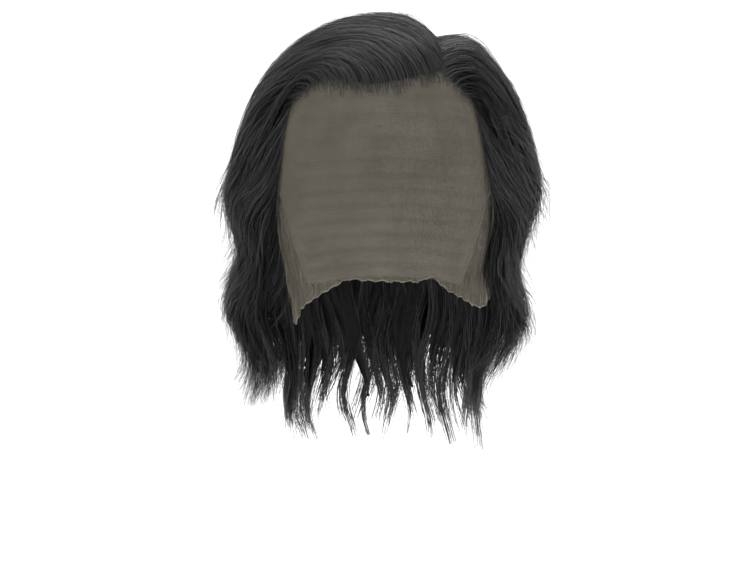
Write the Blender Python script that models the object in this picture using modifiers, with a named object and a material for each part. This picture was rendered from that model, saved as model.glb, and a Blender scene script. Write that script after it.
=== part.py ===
"""Lace front wig: a sheer lace front, a net cap and six sections of fused hair locks.

Metres, +Z up. The wig faces -Y, +X is the viewer's right, and the origin is the inside of
the cap at its top. A place on the head is a turn and a level. The turn is in degrees, 0 at
the front, positive towards +X and 180 at the back. The level is 0 at the top of the head
and 1 where it is widest, and below that it grows by 1 for each dome height of drop.
"""
import math
from collections import namedtuple

import bmesh
import bpy
from mathutils import Vector

# Head that the cap fits
HEAD_HALF_WIDTH = 0.077
HEAD_FRONT = 0.088
HEAD_BACK = 0.102
DOME_HEIGHT = 0.100
NECK_TAPER_SHARE = 0.22
NECK_DEPTH = 0.150

# Walls and clearances
CAP_WALL = 0.0015
LACE_WALL = 0.0010
SEAM_GAP = 0.0005
SEAT_GAP = 0.0010
UNDER_SEAT_GAP = 0.0008
LAYER_GAP = 0.0008
SECTION_GAP = 0.0010

# Lace sheet. Each drop is below the level where the head is widest.
LACE_DROP = 0.062
SEAM_TURN = 92.0
SEAM_TOP_SHARE = 0.33
SEAM_SIDE_SHARE = 0.46
TAB_REACH = 0.008
TAB_HEIGHT = 0.024

# Net cap
NAPE_DROP = 0.088
EAR_DROP = 0.018
EAR_TURN = 104.0
EAR_SPREAD_TURN = 22.0

# Hair
HAIR_VOLUME = 0.030
HAIR_DROP = 0.150
LOCK_DEPTH = 0.014
TIP_DEPTH = 0.003
ROOT_DEPTH = 0.0013
GROOVE_DEPTH = 0.0040
UNDER_DEPTH = 0.0100
UNDER_EDGE_DEPTH = 0.0045
WAVE_LENGTH = 0.078
WAVE_SIZE = 0.0060
WAVE_RISE = 0.020
SWAY_TURN = 4.0

# Levels that the drops give, and those between which the hair changes
LACE_LEVEL = 1.0 + LACE_DROP / DOME_HEIGHT
NAPE_LEVEL = 1.0 + NAPE_DROP / DOME_HEIGHT
EAR_LEVEL = 1.0 + EAR_DROP / DOME_HEIGHT
HAIR_LEVEL = 1.0 + HAIR_DROP / DOME_HEIGHT
LAND_LEVEL_SHARE = 0.96
LAYER_LEVEL_SHARES = (0.40, 0.56)
WAVE_LEVEL_SHARES = (0.70, 1.20)
SWAY_LEVEL_SHARES = (1.50, 2.30)
CREST_LEVEL_SHARE = 1.12
UNDER_LEVEL_SHARE = 0.62

# Turns and shares of the inner hair
UNDER_TURNS = (64.0, 92.0)
SIDE_BACK_TURN = 102.0
SIDE_TIP_SHARE = 1.06
SIDE_ROOT_SHARE = 0.60
SIDE_SWELL_SHARE = 3.0
SIDE_CROWDING_SHARE = 1.3
NAPE_TURN = 103.5
NAPE_TIP_SHARE = 1.12
NAPE_BELLY_SHARE = 0.06

# Locks: how many, where they come apart, and how far each narrows and strays
SWEEP_LOCKS = 10
BACK_LOCKS = 8
SHORT_LOCKS = 6
SIDE_LOCKS = 3
NAPE_LOCKS = 7
OUTER_SPLIT_SHARE = 0.66
SIDE_SPLIT_SHARE = 0.55
NAPE_SPLIT_SHARE = 0.50
THIN_SPLIT_SHARE = 0.35
LOCK_NARROWING_SHARE = 0.38
LOCK_POINT_SHARE = 0.45
LOCK_SHIFT_SHARE = 0.18
LOCK_STRAY_SHARE = 0.045
GROOVE_SHARE = 0.45

# Mesh steps and the angle of a sharp edge
SHARP_ANGLE = 50.0
ROW_TURN = 25.0
LACE_STEP = 8.0
LACE_ROWS = 10
CAP_STEP = 8.0
CAP_DOME_ROWS = 4
CAP_BACK_ROWS = 8
LOCK_COLUMNS = 3
DOME_RINGS = 9
FALL_RINGS = 10
UNDER_RINGS = 12

# The lace's lower edge, from the viewer's left to right. Depth is a share of the lace's
# level at the middle, and curl is a share of the tab's reach.
LaceEdge = namedtuple("LaceEdge", "turn depth curl")
LACE_EDGE = (
    LaceEdge(-92, 0.83, 0.00),
    LaceEdge(-73, 1.03, 0.00),
    LaceEdge(-66, 1.20, 0.35),
    LaceEdge(-57, 1.16, 0.10),
    LaceEdge(-46, 1.11, 0.00),
    LaceEdge(-38, 1.075, 0.00),
    LaceEdge(-20, 0.995, 0.00),
    LaceEdge(0, 1.00, 0.00),
    LaceEdge(18, 1.005, 0.00),
    LaceEdge(25, 0.985, 0.00),
    LaceEdge(33, 1.045, 0.00),
    LaceEdge(46, 1.095, 0.00),
    LaceEdge(60, 1.15, 0.25),
    LaceEdge(68, 1.17, 0.75),
    LaceEdge(74, 1.12, 1.00),
    LaceEdge(79, 1.00, 1.00),
    LaceEdge(82, 0.88, 0.00),
    LaceEdge(92, 0.80, 0.00),
)

# Where the hair beside the face starts, at the viewer's left and right
FaceEdge = namedtuple("FaceEdge", "level left right")
FACE_EDGE = (
    FaceEdge(0.58, 70, 60),
    FaceEdge(0.74, 64, 56),
    FaceEdge(0.90, 62, 57),
    FaceEdge(1.08, 67, 65),
    FaceEdge(1.20, 72, 72),
    FaceEdge(1.34, 75, 85),
    FaceEdge(1.90, 77, 87),
    FaceEdge(2.10, 75, 77),
    FaceEdge(2.60, 78, 78),
)

# The outer hair, once round the head from the viewer's left temple by the back to the
# right temple. The root, the bend over the top and the side are places on the head, and
# roll is the share of the way over the top in which the hair rises to its crest. Crest,
# side_lift and tip_lift are shares of the hair's volume, tip of its level.
Outer = namedtuple(
    "Outer",
    "root_turn root_level bend_turn bend_level roll crest side_turn side_lift"
    " tip_turn tip_lift tip",
)
OUTER = (
    Outer(-60, 0.570, -68, 0.68, 0.60, 0.20, -76, 0.42, -80, 0.60, 0.97),
    Outer(-44, 0.540, -63, 0.44, 0.60, 0.24, -82, 0.72, -85, 1.15, 1.02),
    Outer(-6, 0.560, -42, 0.18, 0.50, 0.22, -89, 0.88, -92, 1.55, 1.04),
    Outer(39, 0.492, 8, 0.05, 0.28, 0.25, -98, 0.90, -101, 1.58, 1.03),
    Outer(82, 0.300, -80, 0.06, 0.25, 0.29, -110, 0.92, -114, 1.40, 1.07),
    Outer(131, 0.352, -165, 0.32, 0.30, 0.28, -127, 0.90, -131, 1.25, 1.12),
    Outer(137, 0.350, 175, 0.50, 0.40, 0.27, -153, 0.84, -156, 1.10, 1.18),
    Outer(135, 0.373, 160, 0.55, 0.40, 0.27, -180, 0.80, -180, 1.02, 1.20),
    Outer(131, 0.395, 143, 0.60, 0.40, 0.29, -207, 0.82, -205, 1.02, 1.17),
    Outer(125, 0.396, 122, 0.62, 0.38, 0.38, -233, 0.86, -231, 1.04, 1.10),
    Outer(83, 0.322, 88, 0.60, 0.34, 0.52, -260, 0.90, -258, 1.10, 1.01),
    Outer(46, 0.500, 64, 0.60, 0.34, 0.48, -279, 0.84, -277, 0.98, 0.97),
    Outer(56, 0.565, 61, 0.72, 0.60, 0.22, -292, 0.36, -287, 0.48, 0.94),
)
PART_END_LEFT = 5
PART_END_RIGHT = 9

Finish = namedtuple("Finish", "colour roughness")
LACE_FINISH = Finish((0.17, 0.155, 0.12), 0.75)
CAP_FINISH = Finish((0.010, 0.010, 0.010), 0.85)
TOP_FINISH = Finish((0.016, 0.016, 0.018), 0.45)
UNDER_FINISH = Finish((0.011, 0.011, 0.012), 0.50)


def smooth(share):
    """0 to 1 with level ends."""
    share = min(max(share, 0.0), 1.0)
    return share * share * (3.0 - 2.0 * share)


def along(rows, key, value, at):
    """Column `value` of a table, read at `at` in column `key`."""
    if at <= getattr(rows[0], key):
        return getattr(rows[0], value)
    for low, high in zip(rows, rows[1:]):
        start, end = getattr(low, key), getattr(high, key)
        if at <= end:
            share = (at - start) / (end - start)
            return getattr(low, value) * (1 - share) + getattr(high, value) * share
    return getattr(rows[-1], value)


def direction(turn, level):
    """Unit direction from the head's middle to a place on its dome."""
    angle, dip = math.radians(turn), math.radians(90.0 * level)
    return Vector((
        math.sin(dip) * math.sin(angle),
        -math.sin(dip) * math.cos(angle),
        math.cos(dip),
    ))


def place(turn, level, lift):
    """Point at a turn and a level, lifted off the head."""
    angle = math.radians(turn)
    depth = HEAD_FRONT if math.cos(angle) > 0 else HEAD_BACK
    if level < 1.0:
        dip = math.radians(90.0 * level)
        out, height = math.sin(dip), (DOME_HEIGHT + lift) * math.cos(dip)
        across, deep = (HEAD_HALF_WIDTH + lift) * out, (depth + lift) * out
    else:
        height = -(level - 1.0) * DOME_HEIGHT
        share = min(-height / NECK_DEPTH, 1.0)
        taper = 1.0 - NECK_TAPER_SHARE * math.sin(math.pi / 2 * share) ** 2
        across, deep = HEAD_HALF_WIDTH * taper + lift, depth * taper + lift
    return Vector((
        across * math.sin(angle),
        -deep * math.cos(angle),
        height - DOME_HEIGHT,
    ))


def wrapped(turn):
    """The turn as -180 to 180."""
    return (turn + 180.0) % 360.0 - 180.0


def between(ends, value):
    """0 before the first end, 1 after the second, smooth between them."""
    return smooth((value - ends[0]) / (ends[1] - ends[0]))


def under_lift(turn):
    """Height of the inner layer of hair: thin at the face, full from the ears back."""
    share = between(UNDER_TURNS, abs(wrapped(turn)))
    return UNDER_EDGE_DEPTH + (UNDER_DEPTH - UNDER_EDGE_DEPTH) * share


def waved(turn, level, lift):
    """A hair point: lift and turn swing in loose waves that grow down the head."""
    phase = math.tau * (level - CREST_LEVEL_SHARE) * DOME_HEIGHT / WAVE_LENGTH
    spread = math.radians(wrapped(turn))
    free = smooth((lift - UNDER_DEPTH) / WAVE_RISE) * between(WAVE_LEVEL_SHARES, level)
    lift += WAVE_SIZE * free * math.cos(phase + 0.5 * spread)
    sway = SWAY_TURN * between(SWAY_LEVEL_SHARES, level)
    return place(turn + sway * math.sin(phase + 2.0 * spread), level, lift)


def make_object(name, mesh, finish, collection):
    material = bpy.data.materials.new(name)
    material.use_nodes = True
    shader = material.node_tree.nodes["Principled BSDF"]
    shader.inputs["Base Color"].default_value = (*finish.colour, 1.0)
    shader.inputs["Roughness"].default_value = finish.roughness
    shader.inputs["Metallic"].default_value = 0.0
    material.diffuse_color = (*finish.colour, 1.0)
    mesh.materials.append(material)
    mesh.shade_smooth()
    mesh.set_sharp_from_angle(angle=math.radians(SHARP_ANGLE))
    made = bpy.data.objects.new(name, mesh)
    collection.objects.link(made)
    return made


def sheet_mesh(name, columns, point):
    """Open sheet. `columns` lists each column's keys, and cells join equal positions."""
    shape = bmesh.new()
    found = {}

    def corner(key):
        if key not in found:
            found[key] = shape.verts.new(point(*key))
        return found[key]

    for left, right in zip(columns, columns[1:]):
        for row in range(min(len(left), len(right)) - 1):
            cell = [left[row], left[row + 1], right[row + 1], right[row]]
            corners = []
            for key in cell:
                if corner(key) not in corners:
                    corners.append(corner(key))
            shape.faces.new(corners)
    bmesh.ops.recalc_face_normals(shape, faces=shape.faces)
    middle = Vector((0.0, 0.0, -DOME_HEIGHT))
    outward = sum(f.normal.dot(f.calc_center_median() - middle) for f in shape.faces)
    if outward < 0:
        bmesh.ops.reverse_faces(shape, faces=shape.faces)
    mesh = bpy.data.meshes.new(name)
    shape.to_mesh(mesh)
    shape.free()
    return mesh


def thicken(made, wall):
    solid = made.modifiers.new("wall", "SOLIDIFY")
    solid.thickness = wall
    solid.offset = 1.0
    solid.use_even_offset = True


def seam_level(turn):
    """Level of the seam between the lace and the cap."""
    return SEAM_TOP_SHARE + (SEAM_SIDE_SHARE - SEAM_TOP_SHARE) * smooth(abs(turn) / SEAM_TURN)


def lace_point(turn, share):
    edge = LACE_LEVEL * along(LACE_EDGE, "turn", "depth", turn)
    top = seam_level(turn)
    level = top + (edge - top) * share
    reach = TAB_REACH * along(LACE_EDGE, "turn", "curl", turn)
    return place(turn, level, reach * smooth(1.0 - (edge - level) * DOME_HEIGHT / TAB_HEIGHT))


def make_lace(collection):
    """The lace sheet: from the seam down to its arched edge, with a tab at each side."""
    turns = [LACE_EDGE[0].turn]
    for low, high in zip(LACE_EDGE, LACE_EDGE[1:]):
        steps = math.ceil((high.turn - low.turn) / LACE_STEP)
        width = (high.turn - low.turn) / steps
        turns += [low.turn + width * (step + 1) for step in range(steps)]
    columns = [[(turn, row / LACE_ROWS) for row in range(LACE_ROWS + 1)] for turn in turns]
    mesh = sheet_mesh("lace_front", columns, lace_point)
    thicken(make_object("lace_front", mesh, LACE_FINISH, collection), LACE_WALL)


def rim_level(turn):
    """Lower rim of the cap behind the seam: an arc over each ear, then the nape."""
    arc = 1.0 - smooth(abs(abs(turn) - EAR_TURN) / EAR_SPREAD_TURN)
    return NAPE_LEVEL - (NAPE_LEVEL - EAR_LEVEL) * arc


def make_cap(collection):
    """The net cap: a dome all round down to the seam, and a skirt behind it."""
    gap_level = SEAM_GAP / (DOME_HEIGHT * math.pi / 2)
    gap_turn = math.degrees(SEAM_GAP / HEAD_HALF_WIDTH)
    side = SEAM_TURN + gap_turn
    half = round((180.0 - side) / CAP_STEP)
    front = round(side / CAP_STEP)
    turns = [side + (180.0 - side) * step / half for step in range(half + 1)]
    turns = [-turn for turn in reversed(turns)][:-1] + [
        side * (2.0 * step / (2 * front) - 1.0) for step in range(2 * front)
    ] + turns

    columns = []
    for turn in turns:
        dome = seam_level(min(abs(turn), SEAM_TURN)) - gap_level
        column = [(0.0, 0.0)]
        column += [
            (round(turn, 6), dome * row / CAP_DOME_ROWS)
            for row in range(1, CAP_DOME_ROWS + 1)
        ]
        if abs(turn) >= side - 1e-9:
            rim = rim_level(turn)
            column += [
                (round(turn, 6), dome + (rim - dome) * row / CAP_BACK_ROWS)
                for row in range(1, CAP_BACK_ROWS + 1)
            ]
        columns.append(column)

    def point(turn, level):
        return place(180.0 if turn == -180.0 else turn, level, 0.0)

    mesh = sheet_mesh("wig_cap", columns, point)
    weld = bmesh.new()
    weld.from_mesh(mesh)
    bmesh.ops.remove_doubles(weld, verts=weld.verts, dist=0.00001)
    weld.to_mesh(mesh)
    weld.free()
    thicken(make_object("wig_cap", mesh, CAP_FINISH, collection), CAP_WALL)


def blended(before, first, second, after, share):
    """Catmull-Rom blend of four values, numbers or vectors."""
    return 0.5 * (
        first * 2.0
        + (second - before) * share
        + (before * 2.0 - first * 5.0 + second * 4.0 - after) * share ** 2
        + (first * 3.0 - before - second * 3.0 + after) * share ** 3
    )


def outer_row(at):
    """The outer table at a place between its rows, with directions for root and bend."""
    low = min(int(at), len(OUTER) - 2)
    rows = [OUTER[min(max(low + step, 0), len(OUTER) - 1)] for step in (-1, 0, 1, 2)]
    share = at - low
    root = blended(*(direction(r.root_turn, r.root_level) for r in rows), share)
    bend = blended(*(direction(r.bend_turn, r.bend_level) for r in rows), share)
    values = {
        name: blended(*(getattr(r, name) for r in rows), share)
        for name in Outer._fields[4:]
    }
    return root.normalized(), bend.normalized(), values


def outer_path(at, step):
    """Turn, level, top lift and underside lift of the outer hair at ring `step`."""
    root, bend, row = outer_row(at)
    seat = CAP_WALL + SEAT_GAP
    if step <= DOME_RINGS:
        q = step / DOME_RINGS
        side = direction(row["side_turn"], LAND_LEVEL_SHARE)
        way = root * (1 - q) ** 2 + bend * (2 * q * (1 - q)) + side * q ** 2
        way.normalize()
        turn = math.degrees(math.atan2(way.x, -way.y))
        level = math.acos(min(way.z, 1.0)) / (math.pi / 2)
        rise = min(q / row["roll"], 1.0)
        lift = row["crest"] * math.sqrt(rise * (2.0 - rise))
        if q > row["roll"]:
            over = smooth((q - row["roll"]) / (1.0 - row["roll"]))
            lift += (row["side_lift"] - row["crest"]) * over
        fall = 0.0
    else:
        fall = (step - DOME_RINGS) / FALL_RINGS
        tip = HAIR_LEVEL * row["tip"]
        turn = row["side_turn"] + (row["tip_turn"] - row["side_turn"]) * smooth(fall)
        level = LAND_LEVEL_SHARE + (tip - LAND_LEVEL_SHARE) * fall
        lift = row["side_lift"] + (row["tip_lift"] - row["side_lift"]) * smooth(fall)
    base = seat + (under_lift(turn) + LAYER_GAP - seat) * between(LAYER_LEVEL_SHARES, level)
    top = max(seat + HAIR_VOLUME * lift, base + ROOT_DEPTH)
    depth = min(top - base, LOCK_DEPTH)
    depth += (min(depth, TIP_DEPTH) - depth) * between((THIN_SPLIT_SHARE, 1.0), fall)
    return turn, level, top, top - depth


def under_path(left, share, step):
    """The inner hair beside the face, `share` from the face edge back to the ear."""
    fall = (step / UNDER_RINGS) ** SIDE_CROWDING_SHARE
    level = UNDER_LEVEL_SHARE + (HAIR_LEVEL * SIDE_TIP_SHARE - UNDER_LEVEL_SHARE) * fall
    face = along(FACE_EDGE, "level", "left" if left else "right", level)
    turn = face + (SIDE_BACK_TURN - face) * share
    turn = -turn if left else turn
    rise = min(1.0, SIDE_ROOT_SHARE + SIDE_SWELL_SHARE * fall)
    return turn, level, under_lift(turn) * rise, CAP_WALL + UNDER_SEAT_GAP


def nape_path(at, step):
    """The inner hair of the nape, `at` from ear to ear round the back."""
    fall = step / UNDER_RINGS
    tip = HAIR_LEVEL * (NAPE_TIP_SHARE + NAPE_BELLY_SHARE * math.sin(math.pi * at))
    level = CREST_LEVEL_SHARE + (tip - CREST_LEVEL_SHARE) * fall
    turn = -NAPE_TURN - (360.0 - 2.0 * NAPE_TURN) * at
    return turn, level, under_lift(turn), CAP_WALL + UNDER_SEAT_GAP


def make_locks(name, path, rings, split, count, finish, collection):
    """Locks side by side as one closed solid: fused at the root, free from `split` on."""
    shape = bmesh.new()
    tops, undersides = {}, {}

    def corner(lock, column, ring):
        free = smooth((ring / rings - split) / (1.0 - split))
        if free == 0.0:
            key = (lock * LOCK_COLUMNS + column, ring)
        else:
            key = (lock, column, ring)
        if key not in tops:
            across = column / LOCK_COLUMNS - 0.5
            width = 1.0 - LOCK_NARROWING_SHARE * free - LOCK_POINT_SHARE * free ** 6
            shift = LOCK_SHIFT_SHARE * math.sin(2.4 * lock + 1.0) * free
            share = (lock + 0.5 + across * width + shift * (1.0 - abs(across))) / count
            reach = ring * (1.0 + LOCK_STRAY_SHARE * free * math.sin(2.1 * lock))
            turn, level, top, underside = path(share, reach)
            ridge = 1.0 - (2.0 * across) ** 2
            groove = min(GROOVE_DEPTH, GROOVE_SHARE * (top - underside))
            tops[key] = shape.verts.new(waved(turn, level, top - groove * (1.0 - ridge)))
            undersides[key] = shape.verts.new(waved(turn, level, underside))
        return key

    for lock in range(count):
        for column in range(LOCK_COLUMNS):
            for ring in range(rings):
                keys = [
                    corner(lock, column, ring),
                    corner(lock, column, ring + 1),
                    corner(lock, column + 1, ring + 1),
                    corner(lock, column + 1, ring),
                ]
                shape.faces.new([tops[key] for key in keys])
                shape.faces.new([undersides[key] for key in reversed(keys)])
    pairs = {tops[key]: undersides[key] for key in tops}
    rim = [edge for edge in shape.edges if edge.is_boundary and edge.verts[0] in pairs]
    for edge in rim:
        first, second = edge.verts
        shape.faces.new([first, second, pairs[second], pairs[first]])
    bmesh.ops.recalc_face_normals(shape, faces=shape.faces)
    mesh = bpy.data.meshes.new(name)
    shape.to_mesh(mesh)
    shape.free()
    make_object(name, mesh, finish, collection)


def make_outer(name, start, end, count, collection):
    """A section of the outer hair between two places in its table."""
    gap = math.degrees(SECTION_GAP / 2 / HEAD_HALF_WIDTH) / ROW_TURN
    start, end = start + gap, end - gap

    def path(share, step):
        return outer_path(start + (end - start) * share, step)

    rings = DOME_RINGS + FALL_RINGS
    make_locks(name, path, rings, OUTER_SPLIT_SHARE, count, TOP_FINISH, collection)


def make_under(name, left, collection):
    def path(share, step):
        return under_path(left, share, step)

    make_locks(name, path, UNDER_RINGS, SIDE_SPLIT_SHARE, SIDE_LOCKS, UNDER_FINISH, collection)


def main():
    for old in list(bpy.data.objects):
        bpy.data.objects.remove(old, do_unlink=True)
    collection = bpy.data.collections.new("lace_front_wig")
    bpy.context.scene.collection.children.link(collection)
    make_lace(collection)
    make_cap(collection)
    make_outer("hair_top_sweep", 0, PART_END_LEFT, SWEEP_LOCKS, collection)
    make_outer("hair_crown_back", PART_END_LEFT, PART_END_RIGHT, BACK_LOCKS, collection)
    make_outer("hair_top_short", PART_END_RIGHT, len(OUTER) - 1, SHORT_LOCKS, collection)
    make_under("hair_side_left", True, collection)
    make_under("hair_side_right", False, collection)
    make_locks(
        "hair_nape", nape_path, UNDER_RINGS, NAPE_SPLIT_SHARE, NAPE_LOCKS, UNDER_FINISH, collection
    )


main()
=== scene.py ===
"""Lace front wig: strands, hairline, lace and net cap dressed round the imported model.

Metres, +Z up, in the frame's axes: the wig faces -Y and +X is the viewer's right. A place
on the head is a turn and a level. The turn is in degrees, 0 at the front, positive towards
+X. The level is 0 at the top of the head, 1 where it is widest, and grows by 1 for each
dome height of drop below that. The outer hair follows the rows of OUTER: a strand lies at a
place between two rows, and its rings run from 0 at the root to RINGS at the tip.
"""
import math
from collections import namedtuple
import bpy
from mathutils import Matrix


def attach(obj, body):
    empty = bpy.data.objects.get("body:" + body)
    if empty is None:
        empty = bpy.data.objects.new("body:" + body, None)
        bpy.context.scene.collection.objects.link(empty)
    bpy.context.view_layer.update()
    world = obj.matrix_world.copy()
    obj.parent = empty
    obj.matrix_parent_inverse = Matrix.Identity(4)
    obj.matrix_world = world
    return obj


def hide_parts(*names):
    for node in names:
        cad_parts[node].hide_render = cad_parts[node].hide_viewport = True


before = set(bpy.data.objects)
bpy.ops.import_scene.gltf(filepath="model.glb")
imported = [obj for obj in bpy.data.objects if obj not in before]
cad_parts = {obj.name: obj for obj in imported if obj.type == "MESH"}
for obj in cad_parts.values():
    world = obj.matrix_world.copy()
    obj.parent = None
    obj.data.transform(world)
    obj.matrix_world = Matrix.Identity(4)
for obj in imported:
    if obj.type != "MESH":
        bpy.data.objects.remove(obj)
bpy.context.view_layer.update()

from types import SimpleNamespace

import bpy
import numpy as np
from mathutils import Vector

MAP_NAME = "OFBake"

# Camera, as the photograph was taken
CAMERA_SPOT = Vector((-0.007, -1.083, 0.015))
CAMERA_TARGET = Vector((-0.007, 0.0, -0.176))
CAMERA_LENS = 75.4
CAMERA_SENSOR = 36.0

# Floor and backdrop
FLOOR_HEIGHT = -0.47
FLOOR_HALF_WIDTH = 4.0
FLOOR_FRONT = -3.0
BACKDROP_PLACE = 2.2
BACKDROP_BEND = 0.9
BACKDROP_TOP = 4.0
WORLD_STRENGTH = 0.52
LIGHT_TARGET = (0.0, 0.0, -0.13)

Light = namedtuple("Light", "name spot target size power")
LIGHTS = (
    Light("front_softbox", (-0.5, -1.8, 1.0), LIGHT_TARGET, (0.9, 0.7), 12.0),
    Light("top_softbox", (0.0, -0.3, 1.7), LIGHT_TARGET, (1.2, 1.0), 10.0),
    Light("left_softbox", (-1.6, -1.0, 0.2), LIGHT_TARGET, (0.7, 1.2), 9.0),
    Light("right_softbox", (1.6, -1.0, 0.3), LIGHT_TARGET, (0.7, 1.2), 12.0),
    Light("backdrop_light", (0.0, 1.0, 2.2), (0.0, BACKDROP_PLACE, 0.0), (3.0, 0.8), 60.0),
)

# Head that the cap fits
HEAD_HALF_WIDTH = 0.077
HEAD_FRONT = 0.088
HEAD_BACK = 0.102
DOME_HEIGHT = 0.100
NECK_TAPER = 0.22
NECK_DEPTH = 0.150

# Lace
LACE_LIFT = 0.0005
LACE_LEVEL = 1.62
LACE_ROWS = 72
LACE_COLUMNS = 150
LACE_THREADS_ACROSS = 330.0
LACE_THREADS_DOWN = 210.0
SEAM_TURN = 92.0
SEAM_TOP_SHARE = 0.33
SEAM_SIDE_SHARE = 0.46
TAB_REACH = 0.008
TAB_HEIGHT = 0.24
TAB_STRETCH = (50.0, 66.0)
SNIP_SIZE = 0.006
FINE_SNIP_SIZE = 0.004
FOLD_SIZE = 0.0011
FINE_FOLD_SIZE = 0.0006
HANG_SIZE = 0.0009

# Cap
CAP_LIFT = 0.0002
CAP_WALL = 0.0009
CAP_FRONT_GRID = (26, 61)
CAP_BACK_GRID = (64, 60)
CAP_TOP_LEVEL = 0.004
SEAM_GAP_TURN = 0.4
NAPE_LEVEL = 1.88
EAR_LEVEL = 1.18
EAR_TURN = 104.0
EAR_SPREAD_TURN = 22.0
WEFT_PITCH = 0.0095
WEFT_HEIGHT = 0.0004
WEFT_ROWS = 17.0
BIND_HEIGHT = 0.0005
BIND_START = 0.955
BIND_SHARE = 0.03

# Hair as a whole
SEAT_LIFT = 0.0025
LAYER_GAP = 0.0008
UNDER_DEPTH = 0.0100
UNDER_EDGE_DEPTH = 0.0045
HAIR_VOLUME = 0.030
HAIR_LEVEL = 2.50
LONGEST_LEVEL = 3.10
LOCK_DEPTH = 0.014
TIP_DEPTH = 0.005
ROOT_DEPTH = 0.0013
ROOT_LIFT = 0.0012
GROOVE_DEPTH = 0.0040
LAND_LEVEL = 0.96
CREST_LEVEL = 1.115
WAVE_SIZE = 0.0060
WAVE_LENGTH_LEFT = 0.080
WAVE_LENGTH_RIGHT = 0.100
WAVE_TWIST = 0.2
SWAY_TURN = 4.0
SWAY_TWIST = 2.0
DOME_RINGS = 9
FALL_RINGS = 10
RINGS = DOME_RINGS + FALL_RINGS
TUCK = 0.008
FRIZZ_LIMIT = 0.0135
LEAST_LIFT = 0.0014
UPRIGHT_SHARE = 0.70
UPRIGHT_REACH = 0.20
LATE_SHARE = 0.19
UP = np.array([0.0, 0.0, 1.0])
TONE_COLUMNS = 64
SHARED_TONES = 0.65
RIBBON_LEAN = 0.7
TIP_TAPER = 0.7
LEAST_WIDTH = 0.22
ROOT_WIDTH = 0.65
ROOT_SHARE = 1 / 12
OWN_WIDTHS = (0.75, 1.25)

# Stretches of a value, each as its start and its end
UNDER_TURNS = (64.0, 92.0)
BASE_LEVELS = (0.40, 0.56)
WEFT_LEVELS = (0.35, 0.5)
WAVE_LEVELS = (0.70, 1.20)
WAVE_TOPS = (0.005, 0.028)
OUTER_SWAY_LEVELS = (1.15, 2.1)
LOOSE_LEVELS = (0.85, 1.9)
FEATHER_LOOSE_LEVELS = (0.7, 1.3)
SPARED_NAPE_LEVELS = (1.80, 1.95)
THINNING_FALL = (0.35, 1.0)
GATHER_RINGS = (0.30, 1.0)
FREE_RINGS = (0.66, 1.0)
CLUMP_RINGS = (0.15, 0.9)
TIP_CLUMP_RINGS = (0.78, 1.0)
TUCK_RINGS = (0.84, 1.05)
TAPER_SHARES = (0.70, 1.0)
WISP_TAIL_SHARES = (0.55, 1.0)
FEATHER_TAIL_SHARES = (0.45, 1.0)
FEATHER_RISE_SHARES = (0.0, 0.35)
INNER_PULL_SHARES = (0.2, 1.0)
INNER_FREE_SHARES = (0.35, 1.0)
ROOTED_LENGTHS = (0.0, 0.016)

# Windows of places in OUTER: start, full, last full and end
UPRIGHT_SWEEP = (0.6, 1.8, 2.8, 3.6)
UPRIGHT_SHORT = (10.2, 10.8, 11.1, 11.7)
LATE_CREST = (1.8, 3.0, 4.2, 4.9)
BEHIND = (3.4, 5.0, 8.6, 9.8)

# How locks and the tufts in them leave an even fall. Turns are in degrees
TUFTS = 7
LOCK_SEED_STEP = 7
LOCK_SINK = 0.0018
LOCK_PHASE = 0.35
LOCK_SIZE = 0.22
LOCK_SWAY = 1.2
LOCK_SHIFT = 0.18
LOCK_REACH = 0.045
LOCK_NARROWING = 0.30
TUFT_SINK = 0.0003
TUFT_LIFT = 0.0004
TUFT_PHASE = 0.30
TUFT_SIZE = 0.20
TUFT_SWAY = 1.0
TUFT_REACH = 0.060
TUFT_CURL = 6.0
TUFT_LOOSE = 0.0017
TUFT_POINT = 0.10
TUFT_ROUND = 0.0006
TUFT_CLUMP = 0.45
TIP_CLUMP = 0.42
TIP_NARROWING = 0.35
LONGEST_REACH = 1.03
OWN_SWAY = 0.9
OWN_LIFT = 0.0024
STRAY_TURN = 700.0
PARTING_DRIFT = 0.055
HAIRLINE_DRIFT = 0.085
BODY_DRIFT = 0.18

# Feathers and the strands beside the face. Starts and lengths of feathers are in rings
FEATHER_LENGTHS = (3.6, 7.0)
FEATHER_OWN_LENGTHS = (0.7, 1.15)
FEATHER_SLANTS = (0.4, 1.5)
FEATHER_START = 0.8
FEATHER_SPREAD = 0.26
FEATHER_SINK = 0.0045
FEATHER_SWAY = 900.0
FEATHER_SWAY_TURNS = (0.8, 1.7, 4.0)
FEATHER_LIFT_TURNS = (0.9, 2.0)
OWN_FLICK = 0.0016
FACE_TUFTS = 46
FACE_LEVELS = (0.60, 1.75)
FACE_PLACES = (0.0, 1.3)
FACE_DROPS = (0.45, 0.85)
FACE_LIFTS = (0.90, 1.06)
FACE_ROOT_LIFT = 0.0018

# Inner layer
SIDE_START_LEVEL = 0.60
SIDE_START_SPREAD = 0.95
SIDE_TIP_SHARE = 1.06
SIDE_END_TURN = 102.0
SIDE_SWEEP_TURN = 4.0
NAPE_START_LEVEL = 1.08
NAPE_START_SPREAD = 0.78
NAPE_TIP_SHARE = 1.10
NAPE_TIP_DROP = 0.06
NAPE_START_TURN = 103.5
NAPE_SPREAD_TURN = 153.0
NAPE_ROOT_LIFT = 0.0016
NAPE_RIM_LIFT = 0.0020
INNER_SWAY_TURNS = (1.0, 2.3)
INNER_LIFT = 0.001
INNER_TILT = 0.55

# How the tufts of the inner layer leave an even fall
Layer = namedtuple("Layer", "tufts phase sway own_sway lift sway_levels")
SIDE_LAYER = Layer(12, 0.4, 0.0, 1.4, 0.0020, (1.3, 2.1))
NAPE_LAYER = Layer(36, 1.0, 3.0, 1.6, 0.0025, (1.4, 2.2))

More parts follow.
